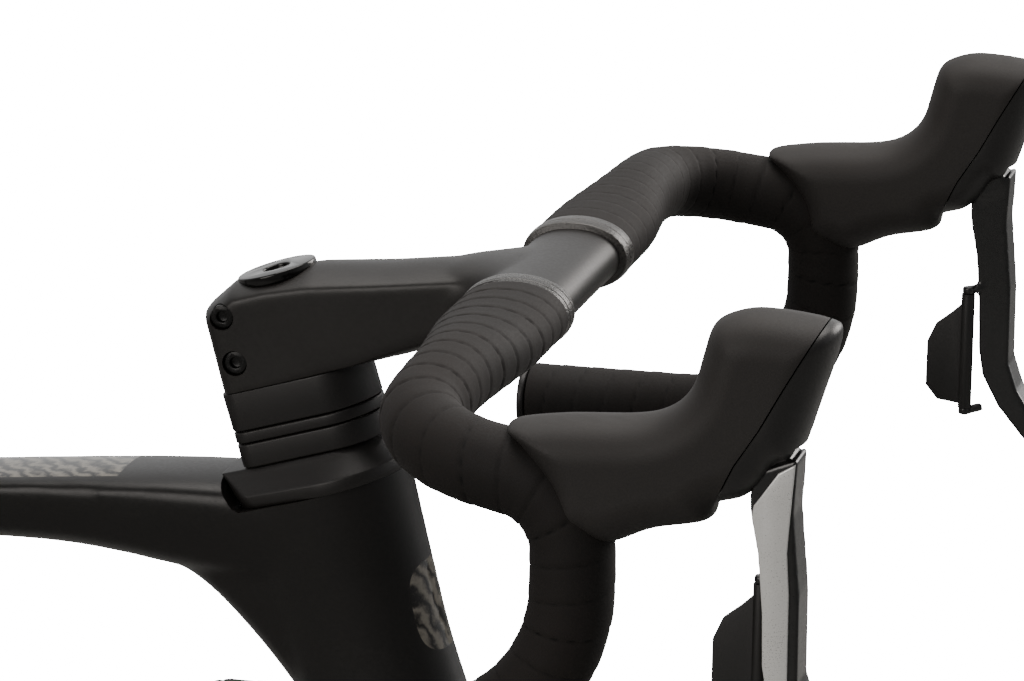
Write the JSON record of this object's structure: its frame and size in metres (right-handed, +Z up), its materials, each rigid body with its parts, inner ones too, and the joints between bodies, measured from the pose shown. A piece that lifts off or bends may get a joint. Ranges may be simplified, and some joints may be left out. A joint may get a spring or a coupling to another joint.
{
  "type": "road bicycle",
  "caption": "Aerodynamic road bicycle with drop bar, one-piece bar and stem, hydraulic brake levers, disc brakes and derailleur gears.",
  "frame": {"origin": "on the ground, midway between the wheels, in the plane of the frame", "axes": "+X forward, +Y to the rider's left, +Z up"},
  "size_m": [1.6694, 0.4604, 0.9881],
  "materials": {
    "frame_carbon": "satin",
    "matt_carbon": "satin",
    "moulded_black": "matte",
    "bearing_steel": "polished",
    "black_alloy": "satin",
    "saddle_cover": "matte",
    "rail_steel": "satin",
    "dark_steel": "satin",
    "bar_tape": "matte",
    "hood_rubber": "matte",
    "polished_lever": "polished",
    "tyre_rubber": "matte",
    "rim_carbon": "satin",
    "rotor_steel": "satin",
    "cog_steel": "satin",
    "ring_alloy": "satin",
    "crank_alloy": "gloss"
  },
  "bodies": {
    "frame": {"head_tube": "frame_carbon", "top_tube": "frame_carbon", "down_tube": "frame_carbon", "seat_tube": "frame_carbon", "chainstays": "frame_carbon", "seatstays": "frame_carbon", "headset_cover": "moulded_black", "cartridge_bearings": "bearing_steel", "seatpost": "matt_carbon", "seatpost_clamp": "black_alloy", "saddle_cover": "saddle_cover", "saddle_shell": "moulded_black", "saddle_rails": "rail_steel", "saddle_clamp": "black_alloy", "rear_caliper": "black_alloy", "rear_thru_axle": "black_alloy", "rear_derailleur_mount": "black_alloy", "front_derailleur_body": "black_alloy"},
    "steering": {"steerer": "matt_carbon", "fork_blades": "frame_carbon", "front_thru_axle": "black_alloy", "front_caliper": "black_alloy", "headset_spacers": "moulded_black", "stem": "matt_carbon", "stem_bolts": "dark_steel", "top_cap": "black_alloy", "handlebar": "matt_carbon", "bar_tape": "bar_tape", "bar_end_plugs": "moulded_black", "shifter_bracket_left": "moulded_black", "shifter_bracket_right": "moulded_black", "hood_left": "hood_rubber", "hood_right": "hood_rubber"},
    "lever_left": {"brake_lever_left": "polished_lever"},
    "lever_right": {"brake_lever_right": "polished_lever"},
    "paddle_left": {"shift_paddle_left": "moulded_black"},
    "paddle_right": {"shift_paddle_right": "moulded_black"},
    "front_wheel": {"front_tyre": "tyre_rubber", "front_rim": "rim_carbon", "front_spokes": "dark_steel", "front_hub": "black_alloy", "front_rotor": "rotor_steel"},
    "rear_wheel": {"rear_tyre": "tyre_rubber", "rear_rim": "rim_carbon", "rear_spokes": "dark_steel", "rear_hub": "black_alloy", "rear_rotor": "rotor_steel"},
    "cassette_body": {"cassette": "cog_steel"},
    "crank_body": {"crankset": "crank_alloy", "chainrings": "ring_alloy", "chain": "cog_steel"},
    "pedal_body_left": {"pedal_left": "moulded_black"},
    "pedal_body_right": {"pedal_right": "moulded_black"},
    "outer_link": {"rear_derailleur_outer_link": "crank_alloy"},
    "inner_link": {"rear_derailleur_inner_link": "black_alloy"},
    "knuckle": {"rear_derailleur_knuckle": "black_alloy"},
    "cage": {"rear_derailleur_cage": "black_alloy"},
    "guide_pulley_body": {"guide_pulley": "moulded_black"},
    "tension_pulley_body": {"tension_pulley": "moulded_black"},
    "front_changer": {"front_derailleur_cage": "crank_alloy"}
  },
  "joints": [
    {"name": "steering", "type": "hinge", "parent": "frame", "child": "steering", "pos_m": [0.2982, 0, 0.831], "axis": [-0.2924, 0, 0.9563], "range_deg": [-50, 50]},
    {"name": "front_wheel_spin", "type": "hinge", "parent": "steering", "child": "front_wheel", "pos_m": [0.4957, 0, 0.339], "axis": [0, 1, 0], "continuous": true},
    {"name": "rear_wheel_spin", "type": "hinge", "parent": "frame", "child": "rear_wheel", "pos_m": [-0.4957, 0, 0.339], "axis": [0, 1, 0], "continuous": true},
    {"name": "crank_spin", "type": "hinge", "parent": "frame", "child": "crank_body", "pos_m": [-0.0918, 0, 0.269], "axis": [0, 1, 0], "continuous": true, "deforming": ["chain"]},
    {"name": "cassette_spin", "type": "hinge", "parent": "frame", "child": "cassette_body", "pos_m": [-0.4957, 0, 0.339], "axis": [0, 1, 0], "continuous": true},
    {"name": "pedal_left_spin", "type": "hinge", "parent": "crank_body", "child": "pedal_body_left", "pos_m": [-0.26262, 0.1, 0.29301], "axis": [0, 1, 0], "continuous": true},
    {"name": "pedal_right_spin", "type": "hinge", "parent": "crank_body", "child": "pedal_body_right", "pos_m": [0.07902, -0.1, 0.24499], "axis": [0, 1, 0], "continuous": true},
    {"name": "brake_lever_left", "type": "hinge", "parent": "steering", "child": "lever_left", "pos_m": [0.51568, 0.212, 0.91999], "axis": [0, 1, 0], "range_deg": [0, 20], "stiffness_Nm_per_rad": 0.5, "springref_deg": -2.86},
    {"name": "brake_lever_right", "type": "hinge", "parent": "steering", "child": "lever_right", "pos_m": [0.51568, -0.212, 0.91999], "axis": [0, 1, 0], "range_deg": [0, 20], "stiffness_Nm_per_rad": 0.5, "springref_deg": -2.86},
    {"name": "shift_paddle_left", "type": "hinge", "parent": "lever_left", "child": "paddle_left", "pos_m": [0.51018, 0.2025, 0.84698], "axis": [0, 0, 1], "range_deg": [0, 8], "stiffness_Nm_per_rad": 0.05, "springref_deg": -5.73},
    {"name": "shift_paddle_right", "type": "hinge", "parent": "lever_right", "child": "paddle_right", "pos_m": [0.51018, -0.2025, 0.84698], "axis": [0, 0, -1], "range_deg": [0, 8], "stiffness_Nm_per_rad": 0.05, "springref_deg": -5.73},
    {"name": "rear_shift", "type": "hinge", "parent": "frame", "child": "outer_link", "pos_m": [-0.54179, -0.09165, 0.28625], "axis": [0, 0.7071, 0.7071], "range_deg": [-21.5, 40]},
    {"name": "inner_link_swing", "type": "hinge", "parent": "frame", "child": "inner_link", "pos_m": [-0.54179, -0.08175, 0.27635], "axis": [0, 0.7071, 0.7071], "range_deg": [-21.5, 40]},
    {"name": "knuckle_level", "type": "hinge", "parent": "outer_link", "child": "knuckle", "pos_m": [-0.4877, -0.0814, 0.276], "axis": [0, -0.7071, -0.7071], "range_deg": [-21.5, 40]},
    {"name": "cage_swing", "type": "hinge", "parent": "knuckle", "child": "cage", "pos_m": [-0.4837, -0.0464, 0.26], "axis": [0, 1, 0], "range_deg": [-30, 20], "stiffness_Nm_per_rad": 1},
    {"name": "guide_pulley_spin", "type": "hinge", "parent": "cage", "child": "guide_pulley_body", "pos_m": [-0.4837, -0.0464, 0.26], "axis": [0, 1, 0], "continuous": true},
    {"name": "tension_pulley_spin", "type": "hinge", "parent": "cage", "child": "tension_pulley_body", "pos_m": [-0.46273, -0.0464, 0.20807], "axis": [0, 1, 0], "continuous": true},
    {"name": "front_shift", "type": "hinge", "parent": "frame", "child": "front_changer", "pos_m": [-0.138, -0.046, 0.432], "axis": [1, 0, 0], "range_deg": [0, 8]}
  ],
  "couplings": [
    {"joint": "cassette_spin", "follows": "crank_spin", "ratio": 3.3333},
    {"joint": "guide_pulley_spin", "follows": "crank_spin", "ratio": -4.1667},
    {"joint": "tension_pulley_spin", "follows": "crank_spin", "ratio": 4.1667},
    {"joint": "inner_link_swing", "follows": "rear_shift", "ratio": 1},
    {"joint": "knuckle_level", "follows": "rear_shift", "ratio": 1}
  ]
}
